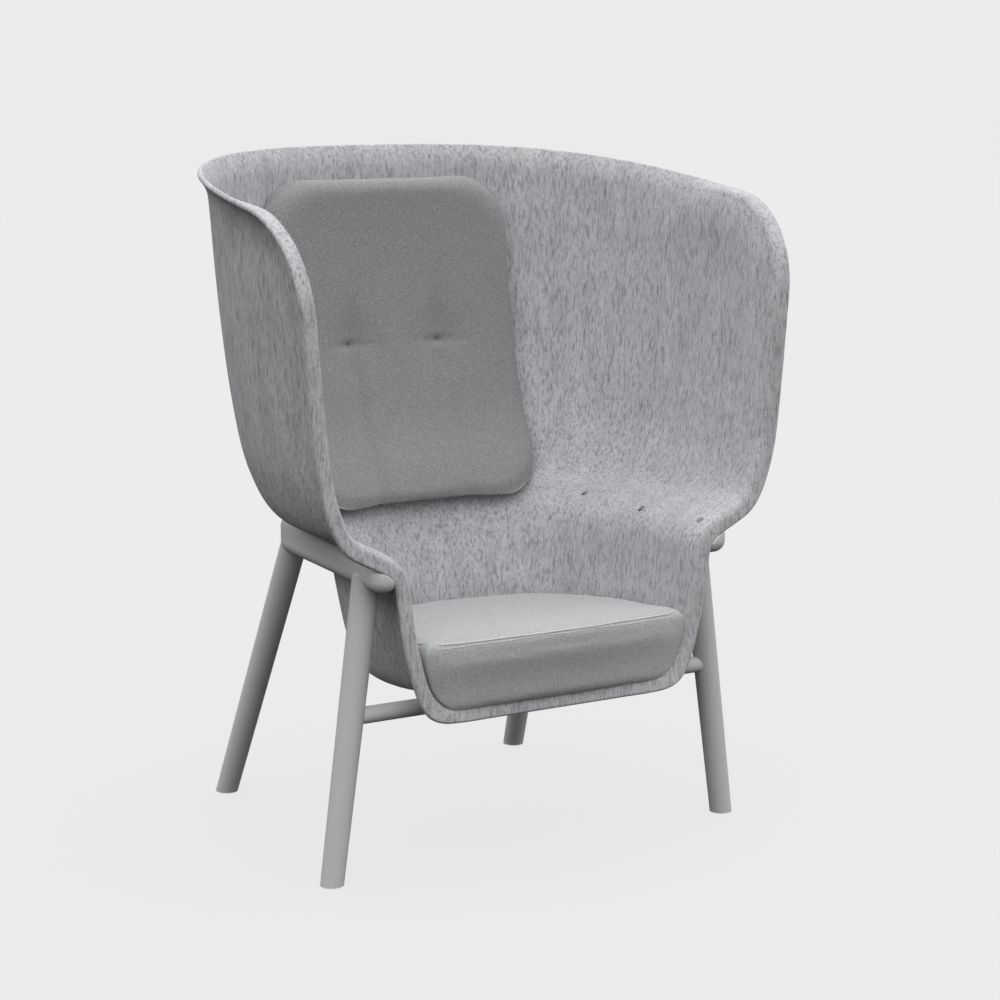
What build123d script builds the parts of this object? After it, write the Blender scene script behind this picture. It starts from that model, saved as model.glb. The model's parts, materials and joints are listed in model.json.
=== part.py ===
from build123d import *
from math import atan2, copysign, cos, hypot, pi, sin
import os

os.makedirs("parts", exist_ok=True)

# A high-backed lounge chair: one moulded felt shell hangs between two rails on four round legs.
# Millimetres. The chair faces -Y, +Z is up, x = 0 is its plane of symmetry and z = 0 the floor.

# ---- driving dimensions -------------------------------------------------------------------
clear = 0.3              # soft and shaped parts stay this far from what they seat on
snug = 0.15              # radial gap round dowels, tenons, glides and screws

# felt shell
felt = 10.0              # wall of the moulded felt
front_y = -352.0         # upright plane of the shell's front edge
rim_corner = 194.0       # side-view radius of the wing's top front corner
rim_front_z = 1186.0     # where the top edge line would meet the front plane
rim_rise = 0.146         # the top edge climbs this much per mm towards the back
flare = 17.0             # the rim rolls outward by this much
flare_length = 42.0      # over this much of the wall behind the edge
dip = 23.0               # the front of the seat pan rolls down by this much
dip_length = 60.0
side_straight = 0.22     # part of each level's depth that runs straight back
roundness = 2.7          # power of the superellipse that closes the lowest level at the back
squaring = 0.008         # the power grows by this much per level
run_on = 25.0            # the sheet is formed this far past its cut front edge

# legs
foot_dia = 42.0
leg_top_dia = 51.0
leg_top_round = 6.0
front_feet_y = -270.0
front_feet_x = 430.0
rear_feet_y = 361.0
rear_feet_x = 340.0
front_leg_lean = -0.136  # x gained per mm of height; the front legs stand upright from the side
rear_leg_lean = -0.092
rear_leg_rake = -0.408   # y gained per mm of height

# rails under the arm shelves
rail_width = 52.0
rail_front_y = front_y
rail_rear_y = 141.0
rail_front_x = 357.0     # centre line at the front end
rail_toe_in = 0.12       # x lost per mm of depth
rail_bottom = (538.0, 528.0)    # underside at the front and rear ends
rail_top = (590.0, 604.0)
rail_round = 23.0

# stretcher, dowels and glides
stretcher_dia = 31.0
stretcher_z = 305.0
tenon_dia = 20.0
tenon_past = 10.0        # the tenon runs this far past the leg's centre line
dowel_dia = 16.0
dowel_length = 56.0
glide_dia = 30.0
glide_height = 5.0
glide_proud = 1.5

# shell screws, three through each arm shelf into the rail below
screw_y = (-316.0, -129.0, 37.0)
screw_out = (-17.0, 1.0, -3.0)   # sideways from the rail's centre line
screw_dia = 6.0
screw_head_dia = 13.0
screw_head_height = 3.0
screw_sunk = 2.0
screw_length = 38.0

# seat cushion, wedge shaped: its levels lean back with the seat pan
seat_slope = -0.083
# height over the pan at the front plane, half width, front y at the corners, bow, back y
seat_levels = [
    (-32, 214, -346, 8, 60), (-8, 256, -351, 14, 90), (42, 278, -353, 20, 108),
    (90, 280, -352, 27, 112), (103, 262, -336, 25, 94)]

# back cushion, a slab that follows the hollow of the shell
pad_half = 274.0
pad_side_round = 7.0     # the side edges bulge by this much
pad_bottom_z = 596.0
pad_top_z = 1222.0
pad_corner = 112.0
pad_side_thick = 36.0
pad_middle_thick = 66.0
pad_steps = 6
tuft_x = 101.0
tuft_z = 899.0
tuft_depth = 16.0
tuft_dia = 90.0

# levels of the shell's inner face: half width, height at the front, back y, rise per mm of depth
levels = [
    (180, 340, front_y - 40, seat_slope),   # front line of the seat pan, beyond the cut edge
    (206, 340, -290, seat_slope),
    (222, 340, -110, seat_slope),
    (240, 343, 30, seat_slope),
    (257, 353, 84, -0.080),
    (270, 371, 106, -0.070),
    (280, 395, 117, -0.060),
    (290, 430, 125, -0.045),
    (299, 480, 137, -0.025),
    (305, 528, 152, -0.010),
    (312, 562, 167, 0.0),               # inner edge of the arm shelf
    (330, 588, 183, 0.0),
    (358, 605, 198, 0.0),
    (386, 619, 210, 0.0),
    (412, 634, 222, 0.0),
    (430, 658, 238, 0.0),               # foot of the wing
    (444, 692, 257, 0.0),
    (457, 740, 277, 0.0),
    (466, 810, 300, 0.0),
    (474, 895, 321, 0.008),
    (481, 980, 335, 0.030),
    (488, 1060, 343, 0.065),
    (495, 1130, 344, 0.105),
    (504, 1186, 341, 0.135),
    (511, 1225, 337, 0.146),
    (517, 1260, 334, 0.146),            # beyond the cut edge
]


def level_at(t):
    """Smooth values between the levels; t counts levels."""
    i = min(int(t), len(levels) - 2)
    f = t - i
    keys = [levels[max(0, min(len(levels) - 1, i + j))] for j in (-1, 0, 1, 2)]
    return [b + 0.5 * f * (c - a + f * (2 * a - 5 * b + 4 * c - d + f * (3 * b - a - 3 * c + d)))
            for a, b, c, d in zip(*keys)]


def power_at(t):
    return roundness + squaring * t


def inner_face(s, t):
    """A point of the plain inner face; s runs from one front edge (-1) round the back to the other."""
    half, height, back, rise = level_at(t)
    start = front_y - run_on - 40 * max(0.0, 1 - t)
    q = 1 - abs(s)
    if q < 0.4:
        across, depth = 1.0, side_straight * q / 0.4
    else:
        a = (q - 0.4) / 0.6 * pi / 2
        across = max(cos(a), 0.0) ** (2 / power_at(t))
        depth = side_straight + (1 - side_straight) * sin(a) ** (2 / power_at(t))
    pan = max(0.0, 1 - t / 3)
    across += pan * (abs(s) - across)
    y = start + (back - start) * depth
    return Vector(copysign(half * across, s), y, height + rise * (y - front_y))


def wall_y(x, z):
    """Depth of the inner face behind a point of the back cushion."""
    low, high = 0.0, len(levels) - 1.0
    while high - low > 1e-4:
        t = (low + high) / 2
        half, height, back, rise = level_at(t)
        start = front_y - run_on
        share = max(0.0, 1 - (abs(x) / half) ** power_at(t)) ** (1 / power_at(t))
        y = start + (back - start) * (side_straight + (1 - side_straight) * share)
        low, high = (t, high) if height + rise * (y - front_y) < z else (low, t)
    return y


corner_y = front_y + rim_corner
corner_z = rim_front_z + rim_rise * rim_corner - rim_corner * hypot(1, rim_rise)


def to_edge(p):
    """Distance from the cut edge in side view, negative beyond it."""
    if p.Z > corner_z and p.Y - corner_y + rim_rise * (p.Z - corner_z) < 0:
        return rim_corner - hypot(p.Y - corner_y, p.Z - corner_z)
    return min(p.Y - front_y, (rim_front_z + rim_rise * (p.Y - front_y) - p.Z) / hypot(1, rim_rise))


def formed_face(s, t, outward):
    """The inner face with its rolled rim, moved outward along its normal."""
    e = 0.004
    p = inner_face(s, t)
    along = inner_face(s + e, t) - inner_face(s - e, t)
    up = inner_face(s, min(t + e, len(levels) - 1)) - inner_face(s, max(t - e, 0))
    normal = up.cross(along).normalized()
    edge = to_edge(p) / flare_length
    roll = flare * (max(0.0, 1 - edge) ** 2 if edge > 0 else 1 - 2 * edge)
    low = min(1.0, max(0.0, (400 - p.Z) / 50))
    lip = (p.Y - front_y) / dip_length
    drop = dip * low * (max(0.0, 1 - lip) ** 2 if lip > 0 else 1 - 2 * lip)
    return p + normal * (roll + outward) - Vector(0, 0, drop)


columns = [i * 0.026 for i in range(12)] + [0.30 + i * 0.05 for i in range(14)]
columns = [q - 1 for q in columns] + [0.0] + [1 - q for q in reversed(columns)]
rows = [i / 8 for i in range(16)] + [2 + i / 2 for i in range(40)] + [22 + i / 8 for i in range(25)]


def shell_layer(inside, thickness):
    """A solid layer of the shell's form; it starts this far inside the inner face."""
    face = Face.make_surface_from_array_of_points(
        [[formed_face(s, t, -inside) for t in rows] for s in columns], tol=1.0, min_deg=3, max_deg=3)
    return Solid.thicken(face, -thickness)


def carve(blank, *cuts):
    """The largest solid that is left of a blank when the cuts are taken away."""
    with BuildPart() as piece:
        add(blank)
        for cut in cuts:
            add(cut, mode=Mode.SUBTRACT)
    return piece.part.solids().sort_by(SortBy.VOLUME)[-1]


def both_sides(right):
    """A right-hand part and its mirror image on the left."""
    with BuildPart() as pair:
        add(right)
        mirror(right, about=Plane.YZ)
    return pair.part


# ---- felt shell: the formed sheet, trimmed by its side outline ------------------------------
with BuildPart() as felt_sheet:
    add(shell_layer(0, felt))
    with BuildSketch(Plane.YZ):
        with BuildLine():
            reach = front_y + 772
            Polyline((reach, 200), (front_y, 200), (front_y, rim_front_z),
                     (reach, rim_front_z + rim_rise * (reach - front_y)), close=True)
        make_face()
        fillet(vertices().sort_by(Axis.X)[:2].sort_by(Axis.Y)[-1], rim_corner)
    extrude(amount=700, both=True, mode=Mode.INTERSECT)
# what the rails, the legs and the cushions have to stay clear of
shell_space = shell_layer(clear, felt + 2 * clear)


# ---- side rails -----------------------------------------------------------------------------
def rail_x(y):
    """Centre line of the right-hand rail."""
    return rail_front_x - rail_toe_in * (y - rail_front_y)


def rail_mid_z(y):
    """Where the leg axes end in the rail."""
    share = (y - rail_front_y) / (rail_rear_y - rail_front_y)
    return rail_bottom[0] + (rail_bottom[1] - rail_bottom[0]) * share + rail_width / 2


rail_turn = atan2(rail_toe_in, 1)
rail_length = (rail_rear_y - rail_front_y) / cos(rail_turn)
rail_plane = Plane((rail_front_x, rail_front_y, 0), x_dir=(-sin(rail_turn), cos(rail_turn), 0),
                   z_dir=(cos(rail_turn), sin(rail_turn), 0))
with BuildPart() as rail_blank:
    with BuildSketch(rail_plane):
        Polygon((0, rail_bottom[0]), (rail_length, rail_bottom[1]), (rail_length, rail_top[1]),
                (0, rail_top[0]), align=None)
    extrude(amount=rail_width / 2, both=True)
    fillet(edges(), rail_round)

# ---- legs, each on a plane through its foot point and square to its axis ----------------------
front_axis = Plane((front_feet_x, front_feet_y, 0), z_dir=(front_leg_lean, 0, 1))
rear_axis = Plane((rear_feet_x, rear_feet_y, 0), z_dir=(rear_leg_lean, rear_leg_rake, 1))
rear_leg_top_y = rear_feet_y + rear_leg_rake * rail_mid_z(rail_rear_y)
front_height = rail_mid_z(front_feet_y) / front_axis.z_dir.Z
rear_height = rail_mid_z(rear_leg_top_y) / rear_axis.z_dir.Z


def shaft(axis, height):
    """A tapered leg, cut level above the floor and bored for its glide."""
    with BuildPart() as blank:
        with BuildSketch(axis.offset(-foot_dia)):
            Circle(foot_dia / 2)
        with BuildSketch(axis.offset(height)):
            Circle(leg_top_dia / 2)
        loft()
        fillet(blank.faces().sort_by(Axis.Z)[-1].edges(), leg_top_round)
        split(bisect_by=Plane.XY.offset(glide_proud), keep=Keep.TOP)
        with Locations(axis.origin):
            Cylinder(glide_dia / 2 + snug, glide_height + snug,
                     align=(Align.CENTER, Align.CENTER, Align.MIN), mode=Mode.SUBTRACT)
    return blank.part


def dowel(axis, height, gap=0.0):
    """The dowel between a leg and its rail, or its bore when there is a gap."""
    with BuildPart() as pin:
        with BuildSketch(axis.offset(height - rail_width / 2 - dowel_length / 2 - gap)):
            Circle(dowel_dia / 2 + gap)
        extrude(amount=dowel_length + 2 * gap)
    return pin.part


stretcher_end = front_feet_x + front_leg_lean * stretcher_z    # the leg's axis at this height
stretcher_plane = Plane((0, front_feet_y, stretcher_z), x_dir=(0, 1, 0), z_dir=(1, 0, 0))


def tenon(gap=0.0):
    """The stretcher's tenon in the right front leg, or its bore when there is a gap."""
    with BuildPart() as pin:
        with BuildSketch(stretcher_plane.offset(stretcher_end - leg_top_dia)):
            Circle(tenon_dia / 2 + gap)
        extrude(amount=leg_top_dia + tenon_past + gap)
    return pin.part


front_shaft = shaft(front_axis, front_height)
dowel_bores = [dowel(front_axis, front_height, snug), dowel(rear_axis, rear_height, snug)]
front_leg = carve(front_shaft, rail_blank.part, shell_space, tenon(snug), dowel_bores[0])
rear_leg = carve(shaft(rear_axis, rear_height), rail_blank.part, shell_space, dowel_bores[1])

with BuildPart() as stretcher:
    with BuildSketch(stretcher_plane):
        Circle(stretcher_dia / 2)
    extrude(amount=stretcher_end, both=True)
front_stretcher = carve(stretcher.part, both_sides(front_shaft))
with BuildPart() as tenoned_stretcher:
    add(front_stretcher)
    add(both_sides(tenon()))

with BuildPart() as foot_glides:
    with Locations(*[(side * x, y) for side in (-1, 1)
                     for x, y in ((front_feet_x, front_feet_y), (rear_feet_x, rear_feet_y))]):
        Cylinder(glide_dia / 2, glide_height, align=(Align.CENTER, Align.CENTER, Align.MIN))
with BuildPart() as right_dowels:
    add(dowel(front_axis, front_height))
    add(dowel(rear_axis, rear_height))


# ---- shell screws: a pan head sunk in the felt and a shank in the rail ------------------------
def shelf_z(x, y):
    """Height of the arm shelf's felt face."""
    plumb = Edge.make_line((x, y, 560), (x, y, 680)) & felt_sheet.part
    return max(v.Z for v in plumb.vertices())


screw_spots = [(rail_x(y) + out, y) for y, out in zip(screw_y, screw_out)]
screw_seats = [(x, y, shelf_z(x, y) - screw_sunk - screw_head_height) for x, y in screw_spots]
upward = (Align.CENTER, Align.CENTER, Align.MIN)
downward = (Align.CENTER, Align.CENTER, Align.MAX)
with BuildPart() as right_screws:
    with Locations(*screw_seats):
        Cylinder(screw_head_dia / 2, screw_head_height, align=upward)
    chamfer([head.faces().sort_by(Axis.Z)[-1].edge() for head in right_screws.solids()], 0.8)
    with Locations(*screw_seats):
        Cylinder(screw_dia / 2, screw_length, align=downward)
with BuildPart() as screw_bores:
    with Locations(*screw_seats):
        Cylinder(screw_head_dia / 2 + clear, 40, align=upward)
        Cylinder(screw_dia / 2 + snug, screw_length + clear, align=downward)
right_rail = carve(rail_blank.part, shell_space, *dowel_bores, screw_bores.part)
felt_shell = carve(felt_sheet.part, both_sides(screw_bores.part))


# ---- seat cushion ---------------------------------------------------------------------------
with BuildPart() as seat_blank:
    for height, half, front, bow, back in seat_levels:
        front, depth = front - front_y, back - front
        with BuildSketch(Plane((0, front_y, levels[0][1] + height), x_dir=(1, 0, 0),
                               z_dir=(0, -seat_slope, 1))):
            with BuildLine():
                ThreePointArc((-half, front), (0, front - bow), (half, front))
                for side in (-half, half):
                    Line((side, front), (side, front + 0.25 * depth))
                    ThreePointArc((side, front + 0.25 * depth), (0.93 * side, front + 0.67 * depth),
                                  (0.73 * side, front + 0.875 * depth))
                ThreePointArc((-0.73 * half, front + 0.875 * depth), (0, front + depth),
                              (0.73 * half, front + 0.875 * depth))
            make_face()
    loft()
seat_cushion = carve(seat_blank.part, shell_space)

# ---- back cushion ---------------------------------------------------------------------------
with BuildPart() as pad_blank:
    for i in range(pad_steps + 1):
        z = pad_bottom_z + i * (pad_top_z - pad_bottom_z) / pad_steps
        rear, rear_middle = (wall_y(x, z) - 5 * clear for x in (pad_half, 0))
        front, front_middle = rear - pad_side_thick, rear_middle - pad_middle_thick
        with BuildSketch(Plane.XY.offset(z)):
            with BuildLine():
                ThreePointArc((-pad_half, rear), (0, rear_middle), (pad_half, rear))
                ThreePointArc((-pad_half, front), (0, front_middle), (pad_half, front))
                for side in (-1, 1):
                    ThreePointArc((side * pad_half, rear),
                                  (side * (pad_half + pad_side_round), (rear + front) / 2),
                                  (side * pad_half, front))
            make_face()
    loft()
    with BuildSketch(Plane.XZ):
        with Locations((0, (pad_bottom_z + pad_top_z) / 2)):
            RectangleRounded(2 * (pad_half + pad_side_round) + 1, pad_top_z - pad_bottom_z, pad_corner)
    extrude(amount=500, both=True, mode=Mode.INTERSECT)
    tuft_radius = tuft_dia ** 2 / (8 * tuft_depth) + tuft_depth / 2
    tuft_y = wall_y(0, tuft_z) - pad_middle_thick + tuft_depth - tuft_radius
    with Locations((-tuft_x, tuft_y, tuft_z), (tuft_x, tuft_y, tuft_z)):
        Sphere(tuft_radius, mode=Mode.SUBTRACT)
back_cushion = carve(pad_blank.part, shell_space)

# ---- the pieces, each in its own file ---------------------------------------------------------
pieces = {
    "felt_shell": felt_shell,
    "seat_cushion": seat_cushion,
    "back_cushion": back_cushion,
    "front_stretcher": tenoned_stretcher.part,
    "foot_glides": foot_glides.part,
    "leg_dowels": both_sides(right_dowels.part),
    "shell_screws": both_sides(right_screws.part),
}
for name, solid in (("{}_side_rail", right_rail), ("front_{}_leg", front_leg), ("rear_{}_leg", rear_leg)):
    pieces[name.format("right")] = solid
    with BuildPart() as left_piece:
        mirror(solid, about=Plane.YZ)
    pieces[name.format("left")] = left_piece.part
for name, shape in pieces.items():
    with BuildPart() as piece:
        add(shape)
    piece.part.label = name
    export_step(piece.part, f"parts/{name}.step")
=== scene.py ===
import bmesh
import bpy
import json
from math import cos, hypot, pi, radians, sin
import numpy as np
from mathutils import Matrix, Vector
from mathutils.bvhtree import BVHTree


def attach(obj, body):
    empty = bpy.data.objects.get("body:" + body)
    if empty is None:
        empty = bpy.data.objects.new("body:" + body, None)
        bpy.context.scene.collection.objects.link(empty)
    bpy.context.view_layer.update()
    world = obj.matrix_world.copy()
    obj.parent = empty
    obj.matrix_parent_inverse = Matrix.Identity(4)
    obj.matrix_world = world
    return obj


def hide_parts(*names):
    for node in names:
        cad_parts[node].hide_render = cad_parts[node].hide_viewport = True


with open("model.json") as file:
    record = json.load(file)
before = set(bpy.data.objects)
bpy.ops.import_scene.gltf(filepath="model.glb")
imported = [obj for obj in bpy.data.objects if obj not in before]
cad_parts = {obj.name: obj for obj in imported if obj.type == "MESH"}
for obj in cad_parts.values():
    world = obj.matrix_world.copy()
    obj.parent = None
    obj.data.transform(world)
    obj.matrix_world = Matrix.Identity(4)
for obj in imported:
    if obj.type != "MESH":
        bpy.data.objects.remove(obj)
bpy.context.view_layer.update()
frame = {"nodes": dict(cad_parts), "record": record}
scene = bpy.context.scene
scene.view_settings.view_transform = "Standard"

# ---- the shell's form, in millimetres, as in the CAD ------------------------------------------
FELT = 10.0
# the cut edge in side view: upright front, round corner, rising top
FRONT_Y, RIM_CORNER, RIM_FRONT_Z, RIM_RISE = -352.0, 194.0, 1186.0, 0.146
# the front rim: the depth of the hollow before it, then an arc turned by radians, then the flange
WAIST_LOW, WAIST_HIGH, WAIST_AT = 6.0, 9.0, 58.0
BEND, BEND_TURN, BEND_GAP, FLANGE = 15.0, 1.45, 2.8, 14.0
# the top rim's flare, and the turned-down lip of the seat pan
FLARE, FLARE_LENGTH = 17.0, 48.0
DIP, DIP_LENGTH, DIP_BELOW, DIP_FADE = 23.0, 60.0, 400.0, 50.0
# each level: the straight part of its depth and of its run, then the power of the superellipse
STRAIGHT, STRAIGHT_SHARE, ROUNDNESS, SQUARING = 0.22, 0.4, 2.7, 0.008
RUN_ON, PAN_RUN_ON, PAN_LEVELS = 25.0, 40.0, 3
SLOPE = -0.083
# half width, height at the front, rearmost y, rise towards the back
LEVELS = np.array([
    (180, 340, FRONT_Y - 40, SLOPE), (206, 340, -290, SLOPE), (222, 340, -110, SLOPE),
    (240, 343, 30, SLOPE), (257, 353, 84, -0.080), (270, 371, 106, -0.070),
    (280, 395, 117, -0.060), (290, 430, 125, -0.045), (299, 480, 137, -0.025),
    (305, 528, 152, -0.010), (312, 562, 167, 0.0), (330, 588, 183, 0.0), (358, 605, 198, 0.0),
    (386, 619, 210, 0.0), (412, 634, 222, 0.0), (430, 658, 238, 0.0), (444, 692, 257, 0.0),
    (457, 740, 277, 0.0), (466, 810, 300, 0.0), (474, 895, 321, 0.008), (481, 980, 335, 0.030),
    (488, 1060, 343, 0.065), (495, 1130, 344, 0.105), (504, 1186, 341, 0.135),
    (511, 1225, 337, 0.146), (517, 1260, 334, 0.146)])
TOP = len(LEVELS) - 1
CORNER_Y = FRONT_Y + RIM_CORNER
CORNER_Z = RIM_FRONT_Z + RIM_RISE * RIM_CORNER - RIM_CORNER * hypot(1, RIM_RISE)


def eased(x):
    x = np.clip(x, 0, 1)
    return x * x * (3 - 2 * x)


def level_at(t):
    """Smooth values between the levels, one row for each t."""
    i = np.clip(t.astype(int), 0, TOP - 1)
    f = (t - i)[:, None]
    a, b, c, d = (LEVELS[np.clip(i + j, 0, TOP)] for j in (-1, 0, 1, 2))
    return b + 0.5 * f * (c - a + f * (2 * a - 5 * b + 4 * c - d + f * (3 * b - a - 3 * c + d)))


def inner_face(s, t):
    """The inner face without its rolled rim: s runs from side to side and t from the pan to the top."""
    half, height, back, rise = level_at(t).T
    start = FRONT_Y - RUN_ON - PAN_RUN_ON * np.maximum(0, 1 - t)
    q = 1 - np.abs(s)
    power = ROUNDNESS + SQUARING * t
    a = np.clip((q - STRAIGHT_SHARE) / (1 - STRAIGHT_SHARE), 0, 1) * pi / 2
    straight = q < STRAIGHT_SHARE
    across = np.where(straight, 1.0, np.maximum(np.cos(a), 0) ** (2 / power))
    depth = np.where(straight, STRAIGHT * q / STRAIGHT_SHARE,
                     STRAIGHT + (1 - STRAIGHT) * np.sin(a) ** (2 / power))
    across += np.maximum(0, 1 - t / PAN_LEVELS) * (np.abs(s) - across)
    y = start + (back - start) * depth
    return np.stack([half * across * np.sign(s), y, height + rise * (y - FRONT_Y)], 1)


def to_edge(p):
    """Distance from the cut edge in side view, negative beyond it."""
    y, z = p[:, 1], p[:, 2]
    below_top = (RIM_FRONT_Z + RIM_RISE * (y - FRONT_Y) - z) / hypot(1, RIM_RISE)
    plain = np.minimum(y - FRONT_Y, below_top)
    corner = (z > CORNER_Z) & (y - CORNER_Y + RIM_RISE * (z - CORNER_Z) < 0)
    return np.where(corner, RIM_CORNER - np.hypot(y - CORNER_Y, z - CORNER_Z), plain)


def formed_face(s, t, roll=0.0):
    """The inner face moved outward by the roll, with the lip of the seat pan turned down, and its normals."""
    e = 0.004  # the step over which the slopes are read
    p = inner_face(s, t)
    along = inner_face(s + e, t) - inner_face(s - e, t)
    up = inner_face(s, np.minimum(t + e, TOP)) - inner_face(s, np.maximum(t - e, 0))
    normal = np.cross(up, along)
    normal /= np.linalg.norm(normal, axis=1)[:, None]
    low = np.clip((DIP_BELOW - p[:, 2]) / DIP_FADE, 0, 1)
    drop = DIP * low * np.clip(1 - (p[:, 1] - FRONT_Y) / DIP_LENGTH, 0, 1) ** 2
    q = p + normal * (roll + np.zeros(len(p)))[:, None]
    q[:, 2] -= drop
    return q, normal


def rim_sections(waist):
    """Two rims, each ring by ring as distance from the edge and outward roll: flanged front, flared top."""
    wall = np.array([200, 165, 136, 112, 92, 76, 62, 52, 44, 37, 31, 26, 22, 18.5])
    far = wall / WAIST_AT
    front = list(zip(wall, -waist * (far * np.exp(1 - far)) ** 2))
    last = front[-1][1]
    front += [(BEND_GAP + BEND * (1 - sin(a)), last + BEND * (1 - cos(a))) for a in np.linspace(0, BEND_TURN, 9)]
    distance, roll = front[-1]
    front += [(distance - FLANGE * f * cos(BEND_TURN), roll + FLANGE * f * sin(BEND_TURN))
              for f in (0.33, 0.67, 1.0)]
    unflared = 8  # rings of the wall that the top rim shares
    top = np.concatenate([wall[:unflared], np.linspace(wall[unflared], 3, len(front) - unflared)])
    top = [(e, FLARE * max(0.0, 1 - e / FLARE_LENGTH) ** 2) for e in top]
    return np.array(front[::-1]), np.array(top[::-1])


def add_mesh(name, verts, faces, smooth=True):
    mesh = bpy.data.meshes.new(name)
    mesh.from_pydata([tuple(v) for v in verts], [], faces)
    mesh.validate()
    obj = bpy.data.objects.new(name, mesh)
    scene.collection.objects.link(obj)
    work = bmesh.new()
    work.from_mesh(mesh)
    bmesh.ops.recalc_face_normals(work, faces=work.faces)
    work.to_mesh(mesh)
    work.free()
    if smooth:
        mesh.shade_smooth()
    return obj


def ring_faces(rings, count, closed=False):
    """Quads between rings of points; closed joins the last ring to the first."""
    return [(r * count + c, r * count + (c + 1) % count,
             (r + 1) % rings * count + (c + 1) % count, (r + 1) % rings * count + c)
            for r in range(rings if closed else rings - 1) for c in range(count)]


def shell_mesh(rays=640, inner_rings=70):
    """The felt sheet as rings round a middle point, so that the last rings run along the rim.

    Also returned is a tree of its inner face alone, in metres, with normals towards the sitter.
    """
    middle = 12.0  # the level that holds the middle point
    k = np.arange(rays) / rays * 4
    side = k.astype(int)
    f = 2 * (k - side) - 1
    ds = np.choose(side, [f, np.ones(rays), -f, -np.ones(rays)])
    dt = np.choose(side, [-np.ones(rays), f, np.ones(rays), -f])
    dt = np.where(dt < 0, dt * middle, dt * (TOP - middle))

    def reach(distance):
        """How far along each ray the sheet is this far from its cut edge."""
        low, high = np.zeros(rays), np.ones(rays)
        for _ in range(40):
            mid = (low + high) / 2
            inside = to_edge(inner_face(ds * mid, middle + dt * mid)) > distance
            low, high = np.where(inside, mid, low), np.where(inside, high, mid)
        return low

    share = reach(0)
    rim = inner_face(ds * share, middle + dt * share)
    turn = np.arctan2(rim[:, 2] - CORNER_Z, CORNER_Y - rim[:, 1])
    past = np.minimum(turn, pi / 2 + RIM_RISE) + np.maximum(rim[:, 1] - CORNER_Y, 0) / RIM_CORNER
    upper = np.where(rim[:, 2] < CORNER_Z, 0, eased((past - 1.15) / 1.5))  # flange at 0, flare at 1
    wing = eased((rim[:, 2] - 560) / 160)  # bucket at 0, wing at 1
    front, top = rim_sections(WAIST_LOW)
    front = front[:, :, None] * (1 - wing) + rim_sections(WAIST_HIGH)[0][:, :, None] * wing
    sections = front * (1 - upper) + top[:, :, None] * upper
    near = [(reach(e), roll) for e, roll in sections]
    rings = near + [(near[-1][0] * (1 - j / inner_rings), near[-1][1] * (1 - j / inner_rings) ** 4)
                    for j in range(1, inner_rings)]
    formed = [formed_face(ds * share, middle + dt * share, roll) for share, roll in rings]
    inner, walls = map(np.array, zip(*formed))
    around = np.roll(inner, -1, 1) - np.roll(inner, 1, 1)
    outward = np.cross(around, np.gradient(inner, axis=0))
    outward /= np.linalg.norm(outward, axis=2)[:, :, None]
    outward *= np.sign((outward * walls).sum(2))[:, :, None]
    outer = inner + FELT * outward
    points, faces = inner.reshape(-1, 3), ring_faces(len(rings), rays)
    sample = faces[5 * rays]
    a, b, c = (points[i] for i in sample[:3])
    if np.dot(np.cross(b - a, c - a), outward.reshape(-1, 3)[sample[0]]) > 0:
        faces = [face[::-1] for face in faces]
    tree = BVHTree.FromPolygons((points / 1000).tolist(), faces)

    half = FELT / 2
    beyond = inner[0] - inner[1]
    beyond -= outward[0] * (beyond * outward[0]).sum(1)[:, None]
    beyond /= np.linalg.norm(beyond, axis=1)[:, None]
    turns = np.linspace(0, pi, 13)[1:-1]
    bead = [inner[0] + half * outward[0] + half * (sin(a) * beyond - cos(a) * outward[0]) for a in turns]
    verts = np.concatenate([inner[::-1].reshape(-1, 3), np.reshape(bead, (-1, 3)), outer.reshape(-1, 3)])
    count = len(verts) // rays
    faces = ring_faces(count, rays)
    pole, out = formed_face(np.zeros(1), np.array([middle]))
    verts = np.concatenate([verts, pole, pole + FELT * out])
    first, last_ring = count * rays, (count - 1) * rays
    faces += [((c + 1) % rays, c, first) for c in range(rays)]
    faces += [(last_ring + c, last_ring + (c + 1) % rays, first + 1) for c in range(rays)]
    return add_mesh("Felt_Shell", verts / 1000, faces), tree


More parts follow.
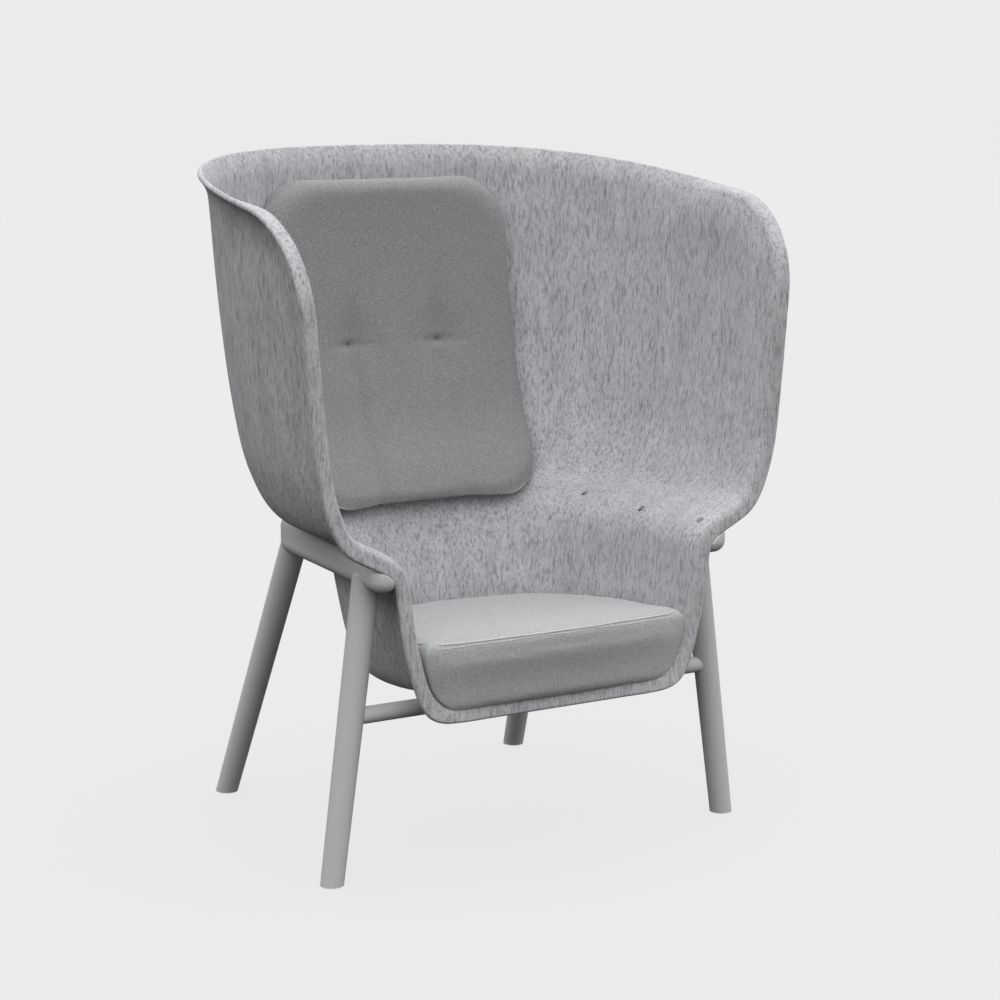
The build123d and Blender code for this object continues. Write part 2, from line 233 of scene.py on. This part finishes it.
# ---- materials --------------------------------------------------------------------------------
class Nodes:
    """A small helper that writes a material's node tree."""

    def __init__(self, name, **shader):
        self.material = bpy.data.materials.new(name)
        self.material.use_nodes = True
        self.tree = self.material.node_tree
        self.shader = self.tree.nodes["Principled BSDF"]
        for key, value in shader.items():
            self.shader.inputs[key.replace("_", " ")].default_value = value

    def add(self, kind, settings=None, **inputs):
        node = self.tree.nodes.new(kind)
        for key, value in (settings or {}).items():
            setattr(node, key, value)
        for key, value in inputs.items():
            socket = node.inputs[int(key[1:])] if key[1:].isdigit() else node.inputs[key.replace("_", " ")]
            if isinstance(value, bpy.types.NodeSocket):
                self.tree.links.new(value, socket)
            else:
                socket.default_value = value
        return node.outputs

    def coords(self, scale=(1, 1, 1), turn=(0, 0, 0)):
        place = self.add("ShaderNodeTexCoord")["Object"]
        return self.add("ShaderNodeMapping", None, Vector=place, Scale=scale, Rotation=turn)["Vector"]

    def noise(self, scale, stretch=(1, 1, 1), turn=(0, 0, 0), detail=4.0):
        return self.add("ShaderNodeTexNoise", None, Vector=self.coords(stretch, turn), Scale=scale,
                        Detail=detail, Roughness=0.55)["Fac"]

    def ramp(self, fac, *stops):
        """A grey ramp between two stops, each a place and a value."""
        out = self.add("ShaderNodeValToRGB", None, Fac=fac)
        elements = out["Color"].node.color_ramp.elements
        for stop, (place, value) in zip(elements, stops):
            stop.position = place
            stop.color = (value, value, value, 1)
        return out["Color"]

    def math(self, kind, a, b):
        return self.add("ShaderNodeMath", {"operation": kind}, _0=a, _1=b)["Value"]

    def mix(self, fac, a, b):
        out = self.add("ShaderNodeMix", {"data_type": "RGBA"}, _0=fac)
        node = out[0].node
        for socket, value in ((node.inputs[6], a), (node.inputs[7], b)):
            if isinstance(value, bpy.types.NodeSocket):
                self.tree.links.new(value, socket)
            else:
                socket.default_value = (*value, 1)
        return out[2]

    def colour(self, socket):
        self.tree.links.new(socket, self.shader.inputs["Base Color"])

    def bump(self, height, strength, distance):
        out = self.add("ShaderNodeBump", None, Height=height, Strength=strength, Distance=distance)
        self.tree.links.new(out["Normal"], self.shader.inputs["Normal"])


def felt_material():
    """Pressed fibres: a cloudy ground with upright and crossing layers of dark streaks and a pale grain."""
    m = Nodes("Moulded_Felt", Roughness=0.95, Sheen_Weight=0.12, Sheen_Roughness=0.6, Specular_IOR_Level=0.12)
    base, dark, pale = (0.48, 0.474, 0.500), (0.11, 0.108, 0.124), (0.60, 0.593, 0.62)
    cloud = m.noise(26, (1, 1, 0.4))
    colour = m.mix(m.ramp(cloud, (0.35, 0.0), (0.7, 1.0)), base, pale)
    for scale, stretch, turn, low, high, depth in (
            (210, (1, 1, 0.16), (0.12, 0.14, 0), 0.50, 0.68, 0.62),
            (330, (1, 1, 0.20), (-0.30, -0.24, 0.4), 0.50, 0.70, 0.50),
            (120, (1, 1, 0.22), (0.22, -0.12, 0.2), 0.56, 0.74, 0.42),
            (260, (0.25, 0.9, 0.7), (0.5, 0.3, 0.2), 0.56, 0.74, 0.38)):
        streak = m.ramp(m.noise(scale, stretch, turn, detail=3), (low, 0.0), (high, depth))
        colour = m.mix(streak, colour, dark)
    grain = m.noise(650, detail=2)
    colour = m.mix(m.ramp(grain, (0.40, 0.0), (0.72, 0.35)), colour, (0.92, 0.91, 0.94))
    m.colour(colour)
    fuzz = m.math("ADD", m.noise(650, detail=3), m.noise(210, (1, 1, 0.2), detail=2))
    m.bump(fuzz, 0.4, 0.0014)
    return m.material


def fabric_material(name, base, light, sheen=0.2):
    """A fine plain weave: two crossed ribs broken up by yarn noise."""
    m = Nodes(name, Roughness=0.9, Sheen_Weight=sheen, Sheen_Roughness=0.5, Specular_IOR_Level=0.15)
    warp = m.noise(800, (1, 1, 0.35), detail=2)
    weft = m.noise(800, (0.3, 0.3, 1), detail=2)
    weave = m.math("MULTIPLY", warp, weft)
    colour = m.mix(m.ramp(weave, (0.16, 0.0), (0.36, 1.0)), base, light)
    colour = m.mix(m.ramp(m.noise(30), (0.4, 0.0), (0.7, 0.10)), colour, light)
    m.colour(colour)
    m.bump(weave, 0.5, 0.0008)
    return m.material


def paint_material():
    m = Nodes("Frame_Paint", Roughness=0.62, Specular_IOR_Level=0.3)
    grain = m.noise(900, detail=2)
    m.colour(m.mix(m.ramp(grain, (0.35, 0.0), (0.7, 1.0)), (0.60, 0.60, 0.595), (0.74, 0.74, 0.735)))
    m.bump(grain, 0.15, 0.0004)
    return m.material


def plain_material(name, low, high, scale, rough, metal=0.0, stretch=(1, 1, 1)):
    m = Nodes(name, Roughness=rough, Metallic=metal)
    m.colour(m.mix(m.noise(scale, stretch), low, high))
    m.bump(m.noise(scale * 2, stretch), 0.1, 0.0003)
    return m.material


felt = felt_material()
seat_cloth = fabric_material("Seat_Fabric", (0.34, 0.345, 0.355), (0.56, 0.565, 0.58), 0.6)
# the back cushion is covered like the seat; its darker colour is painted shade for its place deep inside the
# shell
back_cloth_painted_shade = fabric_material("Back_Fabric_Painted_Shade", (0.215, 0.217, 0.223), (0.365, 0.369, 0.378))
# the piping and seam cords are real; their colour, lighter than the seat fabric, is a painted highlight along
# the sewn edges
seam_cloth_painted_highlight = fabric_material("Seam_Fabric_Painted_Highlight", (0.52, 0.525, 0.535), (0.74, 0.745, 0.76))
paint = paint_material()
finishes = {
    "dowel_wood": plain_material("Dowel_Wood", (0.50, 0.36, 0.22), (0.62, 0.47, 0.30), 60, 0.6,
                                 stretch=(1, 1, 0.1)),
    "screw_steel": plain_material("Screw_Steel", (0.07, 0.07, 0.08), (0.12, 0.12, 0.13), 300, 0.4, 0.8),
    "glide_plastic": plain_material("Glide_Plastic", (0.30, 0.30, 0.30), (0.38, 0.38, 0.38), 500, 0.5),
    "frame_paint": paint}
for part in frame["record"]["subparts"]:
    if part["material_slot"] in finishes:
        mesh = frame["nodes"][part["node"]].data
        mesh.materials.clear()
        mesh.materials.append(finishes[part["material_slot"]])


# ---- the shell ----------------------------------------------------------------------------------
# in metres: a bore as wide as a screw head, which starts just under the top of the head
HEAD_RADIUS, HEAD_HIDDEN, BORE_DEPTH = 0.0063, 0.0015, 0.03


def read_islands(obj):
    """The low and high corners of each separate solid of a node, in world axes."""
    work = bmesh.new()
    work.from_mesh(obj.data)
    bmesh.ops.remove_doubles(work, verts=work.verts, dist=1e-5)
    left, found = set(work.verts), []
    while left:
        island, queue = [], [left.pop()]
        while queue:
            vert = queue.pop()
            island.append(obj.matrix_world @ vert.co)
            for edge in vert.link_edges:
                other = edge.other_vert(vert)
                if other in left:
                    left.remove(other)
                    queue.append(other)
        found.append((np.min(island, 0), np.max(island, 0)))
    work.free()
    return found


def bore_over_screws(obj):
    """Opens the felt over each screw head."""
    tool = bmesh.new()
    for low, high in read_islands(frame["nodes"]["shell_screws"]):
        middle = (low + high) / 2
        bmesh.ops.create_cone(tool, cap_ends=True, segments=24, radius1=HEAD_RADIUS, radius2=HEAD_RADIUS,
                              depth=BORE_DEPTH, matrix=Matrix.Translation(
                                  (middle[0], middle[1], high[2] + BORE_DEPTH / 2 - HEAD_HIDDEN)))
    mesh = bpy.data.meshes.new("Bores")
    tool.to_mesh(mesh)
    tool.free()
    cutter = bpy.data.objects.new("Bores", mesh)
    scene.collection.objects.link(cutter)
    cut = obj.modifiers.new("Bores", "BOOLEAN")
    cut.operation, cut.solver, cut.object = "DIFFERENCE", "EXACT", cutter
    done = bpy.data.meshes.new_from_object(obj.evaluated_get(bpy.context.evaluated_depsgraph_get()))
    obj.modifiers.remove(cut)
    obj.data = done
    bpy.data.objects.remove(cutter)


shell, felt_face = shell_mesh()
bore_over_screws(shell)
shell.data.materials.append(felt)
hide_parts("felt_shell")
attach(shell, "root")


# ---- cushions, in metres ------------------------------------------------------------------------
PRESSURE, STIFFNESS, BENDING, SIM_QUALITY, SIM_FRAMES, SIM_SMOOTHING = 4, 20, 4, 4, 20, 14
FELT_GAP, FELT_SEARCH = 0.001, 0.03


def relaxed(values, edges, times):
    """Averages an array over the mesh, a few steps along its edges."""
    count = np.zeros(len(values))
    for column in (0, 1):
        np.add.at(count, edges[:, column], 1)
    for _ in range(times):
        total = np.zeros_like(values)
        np.add.at(total, edges[:, 0], values[edges[:, 1]])
        np.add.at(total, edges[:, 1], values[edges[:, 0]])
        values = 0.5 * values + 0.5 * total / count[:, None]
    return values


def read_points(mesh, field="co"):
    flat = np.empty(len(mesh.vertices) * 3)
    mesh.vertices.foreach_get(field, flat)
    return flat.reshape(-1, 3)


def mesh_edges(mesh):
    flat = np.empty(len(mesh.edges) * 2, int)
    mesh.edges.foreach_get("vertices", flat)
    return flat.reshape(-1, 2)


def stuffed(name, node, voxel, shrink, cap, soften, prepare=None):
    """A padded copy of a soft CAD solid: remeshed, drawn in a little and blown up as cloth.

    The cap limits how far the cloth moves a point. The mesh is first softened along its edges this many times.
    """
    mesh = frame["nodes"][node].data.copy()
    mesh.name = name
    work = bmesh.new()
    work.from_mesh(mesh)
    bmesh.ops.remove_doubles(work, verts=work.verts, dist=1e-5)
    bmesh.ops.recalc_face_normals(work, faces=work.faces)
    work.to_mesh(mesh)
    work.free()
    obj = bpy.data.objects.new(name, mesh)
    scene.collection.objects.link(obj)
    mesh.remesh_voxel_size = voxel
    with bpy.context.temp_override(object=obj, active_object=obj, selected_objects=[obj]):
        bpy.ops.object.voxel_remesh()
    mesh = obj.data
    edges = mesh_edges(mesh)
    start = read_points(mesh)
    if prepare:
        start = prepare(start, read_points(mesh, "normal"))
    mesh.vertices.foreach_set("co", relaxed(start, edges, soften).ravel())
    mesh.update()
    start = read_points(mesh) - read_points(mesh, "normal") * shrink
    mesh.vertices.foreach_set("co", start.ravel())
    mesh.update()
    cloth = obj.modifiers.new("Cloth", "CLOTH")
    settings = cloth.settings
    settings.quality = SIM_QUALITY
    settings.tension_stiffness = settings.compression_stiffness = STIFFNESS
    settings.bending_stiffness = BENDING
    settings.use_pressure = True
    settings.uniform_pressure_force = PRESSURE
    settings.effector_weights.gravity = 0
    for step in range(1, SIM_FRAMES + 1):
        scene.frame_set(step)
    blown = obj.evaluated_get(bpy.context.evaluated_depsgraph_get()).data
    move = read_points(blown) - start
    obj.modifiers.remove(cloth)
    scene.frame_set(1)
    length = np.linalg.norm(move, axis=1)[:, None]
    move = relaxed(move * np.minimum(1, cap / np.maximum(length, 1e-9)), edges, SIM_SMOOTHING)
    mesh.vertices.foreach_set("co", (start + move).ravel())
    mesh.materials.clear()
    mesh.shade_smooth()
    mesh.update()
    fine = obj.modifiers.new("Fine", "SUBSURF")
    fine.levels = fine.render_levels = 1
    return obj


def keep_off_felt(obj):
    """Moves what touches or enters the felt back in front of its inner face."""
    for vertex in obj.data.vertices:
        spot, normal, _, _ = felt_face.find_nearest(vertex.co, FELT_SEARCH)
        if spot is not None and (vertex.co - spot).dot(normal) < FELT_GAP:
            vertex.co = spot + normal * FELT_GAP
    obj.data.update()


def shape(obj, move, *more):
    """Moves each vertex of a mesh; move takes and returns an array of points."""
    obj.data.vertices.foreach_set("co", move(read_points(obj.data), *more).ravel())
    obj.data.update()


def smooth_loop(points, times):
    for _ in range(times):
        points = (np.roll(points, 1, 0) + 2 * points + np.roll(points, -1, 0)) / 4
    return points


def edge_loop(obj, out, up, steps=280):
    """The outermost points of a cushion all round, seen along a slant, as a smooth loop."""
    p = read_points(obj.data)
    away = p[:, :2] - (p[:, :2].max(0) + p[:, :2].min(0)) / 2
    slot = (np.arctan2(away[:, 1], away[:, 0]) / (2 * pi) % 1 * steps).astype(int) % steps
    score = out * np.hypot(*away.T) + up * p[:, 2]
    order = np.lexsort((score, slot))
    last = np.r_[slot[order][1:] != slot[order][:-1], True]
    return smooth_loop(p[order][last], 12)


def piping(name, obj, guide, radius, proud, sides=8):
    """A sewn cord that follows a guide loop over the surface of a cushion."""
    tree = BVHTree.FromObject(obj, bpy.context.evaluated_depsgraph_get())
    hits = [tree.find_nearest(Vector(g)) for g in guide]
    path = smooth_loop(np.array([h[0] + h[1] * proud for h in hits]), 6)
    out = smooth_loop(np.array([h[1] for h in hits]), 6)
    along = np.roll(path, -1, 0) - np.roll(path, 1, 0)
    along /= np.linalg.norm(along, axis=1)[:, None]
    side = np.cross(along, out)
    side /= np.linalg.norm(side, axis=1)[:, None]
    out = np.cross(side, along)
    verts = np.concatenate([path + radius * (cos(2 * pi * k / sides) * out + sin(2 * pi * k / sides) * side)
                            for k in range(sides)])
    return add_mesh(name, verts, ring_faces(sides, len(path), closed=True))


seat = stuffed("Seat_Cushion", "seat_cushion", 0.005, 0.002, 0.003, 2)
keep_off_felt(seat)
seat.data.materials.append(seat_cloth)
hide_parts("seat_cushion")
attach(seat, "root")

seat_piping = piping("Seat_Piping", seat, edge_loop(seat, 0.62, 0.78), 0.0017, 0.0006)
seat_seam = piping("Seat_Seam", seat, edge_loop(seat, 0.85, 0.52), 0.0008, 0.0002)
# the cords' lighter cloth is a painted highlight on the seat's edges
for edge in (seat_piping, seat_seam):
    edge.data.materials.append(seam_cloth_painted_highlight)
    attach(edge, "root")

TUFTS = ((-0.101, 0.899), (0.101, 0.899))  # x and z
TUFT_FILL, TUFT_RING = 0.056, 0.052  # the hollows are filled this far out, from a fit beyond the ring
CORNER_ROUND, EDGE_ROUND, EDGE_ROLL = 0.120, 0.115, 0.026
FOOT_FULLNESS, WIDENING, LENGTHENING = 0.019, 1.012, 0.007


def fill_tufts(p, normal):
    """Closes the solid's round tuft hollows with a surface fitted to the front around them."""
    x, z = p[:, 0] / 0.3, (p[:, 2] - 0.9) / 0.3
    far = np.min([np.hypot(p[:, 0] - a, p[:, 2] - b) for a, b in TUFTS], 0)
    front = (normal[:, 1] < -0.6) | ((far < TUFT_FILL + 0.004) & (p[:, 1] < np.median(p[:, 1])))
    terms = np.stack([x ** i * z ** j for i in range(5) for j in range(5)], 1)
    known = front & (far > TUFT_RING) & (np.abs(x) < 0.8) & (np.abs(z) < 0.9)
    fit = np.linalg.lstsq(terms[known], p[known, 1], rcond=None)[0]
    q = p.copy()
    q[:, 1] = np.where(front & (far < TUFT_FILL), terms @ fit, p[:, 1])
    return q


def pull_tufts(p, middle):
    """Each tuft pulls the front, before the middle, in to a sharp pinch with soft creases that run out of it."""
    q = p.copy()
    for x, z in TUFTS:
        dx, dz = p[:, 0] - x, p[:, 2] - z
        far = np.hypot(dx, dz)
        pull = 0.017 * np.exp(-far / 0.010) + 0.008 * np.exp(-(far / 0.055) ** 2)
        above = np.exp(-(dx / 0.022) ** 2 - (np.maximum(dz, 0) / 0.085) ** 2)
        pull += 0.0085 * above * (1 - np.exp(-(far / 0.02) ** 2))
        pull += 0.0036 * np.exp(-(dz / 0.009) ** 2 - (dx / 0.045) ** 2)
        pull -= 0.0022 * np.exp(-((np.abs(dx) - 0.028) / 0.018) ** 2 - ((dz + 0.045) / 0.045) ** 2)
        q[:, 1] += np.where(p[:, 1] < middle, pull, 0)
    return q


def wall_depth(p):
    """1 at the cushion's front and 0 at its back, by the nearer of the two along the depth."""
    cells = np.round(np.stack([p[:, 0], p[:, 2]], 1) / 0.02).astype(int)
    _, cell = np.unique(cells, axis=0, return_inverse=True)
    cell = cell.ravel()
    near, far = np.full(cell.max() + 1, 9.0), np.full(cell.max() + 1, -9.0)
    np.minimum.at(near, cell, p[:, 1])
    np.maximum.at(far, cell, p[:, 1])
    return np.clip((far[cell] - p[:, 1]) / np.maximum(far[cell] - near[cell], 0.012), 0, 1)


def fuller_foot(p, edges):
    """Rounder lower corners, softly rolled edges and more stuffing low down."""
    q = p.copy()
    low, radius = p[:, 2].min(), CORNER_ROUND
    x, z = np.abs(p[:, 0]) - (np.abs(p[:, 0]).max() - radius), low + radius - p[:, 2]
    far = np.hypot(x, z)
    corner = (x > 0) & (z > 0) & (far > radius)
    share = np.where(corner, (radius + 0.15 * (far - radius)) / np.maximum(far, 1e-6), 1)
    q[:, 0] += np.sign(p[:, 0]) * x * (share - 1) * corner
    q[:, 2] += -z * (share - 1) * corner
    low, high, half = q[:, 2].min(), q[:, 2].max(), np.abs(q[:, 0]).max()
    radius = EDGE_ROUND
    x = np.abs(q[:, 0]) - half + radius
    z = np.abs(q[:, 2] - (low + high) / 2) - (high - low) / 2 + radius
    inside = radius - np.hypot(np.maximum(x, 0), np.maximum(z, 0)) - np.minimum(np.maximum(x, z), 0)
    roll = np.clip(1 - inside / EDGE_ROLL, 0, 1)
    deep = EDGE_ROLL * (1 - np.sqrt(1 - 0.96 * roll * roll))
    depth = relaxed(wall_depth(q)[:, None], edges, 12)[:, 0]
    q[:, 1] += deep * depth
    q[:, 1] -= FOOT_FULLNESS * np.exp(-((q[:, 2] - low - 0.055) / 0.060) ** 2) * depth
    q[:, 0] *= WIDENING
    q[:, 2] += LENGTHENING * ((q[:, 2] - low) / (high - low)) ** 2
    foot = np.clip((low + 0.12 - q[:, 2]) / 0.04, 0, 1)[:, None]
    return q + (relaxed(q, edges, 8) - q) * foot


back = stuffed("Back_Cushion", "back_cushion", 0.006, 0.003, 0.0045, 8, fill_tufts)
shape(back, fuller_foot, mesh_edges(back.data))
keep_off_felt(back)
fine_back = bpy.data.meshes.new_from_object(back.evaluated_get(bpy.context.evaluated_depsgraph_get()))
back.modifiers.clear()
back.data = fine_back
points, (tuft_x, tuft_z) = read_points(back.data), TUFTS[1]
near = (np.abs(np.abs(points[:, 0]) - tuft_x) < 0.05) & (np.abs(points[:, 2] - tuft_z) < 0.05)
shape(back, pull_tufts, (points[near, 1].min() + points[near, 1].max()) / 2)
# the darker back fabric carries painted shade
back.data.materials.append(back_cloth_painted_shade)
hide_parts("back_cushion")
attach(back, "root")


# ---- floor, backdrop, light and camera ----------------------------------------------------------
def stage_material(name, diffuse, glow):
    m = Nodes(name, Roughness=1.0, Specular_IOR_Level=0.0)
    m.shader.inputs["Base Color"].default_value = (diffuse, diffuse, diffuse, 1)
    m.shader.inputs["Emission Color"].default_value = (1, 1, 1, 1)
    m.shader.inputs["Emission Strength"].default_value = glow
    return m.material


STAGE_RADIUS, STAGE_SIDES = 30, 128
circle = [(STAGE_RADIUS * cos(2 * pi * a / STAGE_SIDES), STAGE_RADIUS * sin(2 * pi * a / STAGE_SIDES))
          for a in range(STAGE_SIDES)]
floor = add_mesh("Floor", [(x, y, 0) for x, y in circle], [tuple(range(STAGE_SIDES))], smooth=False)
floor.data.materials.append(stage_material("Floor_Finish", 0.07, 0.74))
backdrop = add_mesh("Backdrop", [(x, y, z) for z in (-0.5, 12) for x, y in circle],
                    ring_faces(2, STAGE_SIDES), smooth=False)
backdrop.data.materials.append(stage_material("Backdrop_Finish", 0.0, 0.83))
for thing in (floor, backdrop):
    thing.visible_diffuse = thing.visible_glossy = thing.visible_shadow = False

# soft light from all round that fades out below the horizon
world = bpy.data.worlds.new("Studio")
world.use_nodes = True
sky = world.node_tree
toward = sky.nodes.new("ShaderNodeSeparateXYZ")
fade = sky.nodes.new("ShaderNodeMapRange")
for key, value in (("From Min", -0.15), ("From Max", 0.20), ("To Min", 0.02), ("To Max", 0.40)):
    fade.inputs[key].default_value = value
sky.links.new(sky.nodes.new("ShaderNodeTexCoord").outputs["Generated"], toward.inputs[0])
sky.links.new(toward.outputs["Z"], fade.inputs["Value"])
sky.links.new(fade.outputs["Result"], sky.nodes["Background"].inputs["Strength"])
sky.nodes["Background"].inputs["Color"].default_value = (1, 1, 1, 1)
scene.world = world

overhead = bpy.data.lights.new("Overhead", "SUN")
overhead.energy, overhead.angle = 3.2, radians(130)
lamp = bpy.data.objects.new("Overhead", overhead)
lamp.rotation_euler = Vector((0.04, -0.10, 0.98)).to_track_quat("Z", "Y").to_euler()
scene.collection.objects.link(lamp)

camera = bpy.data.cameras.new("Camera")
camera.lens, camera.sensor_width = 88.99, 36.0
eye = bpy.data.objects.new("Camera", camera)
eye.location = (-2.3780, -4.0377, 1.4504)
eye.rotation_euler = (radians(79.947), 0, radians(-31.401))
scene.collection.objects.link(eye)
scene.camera = eye
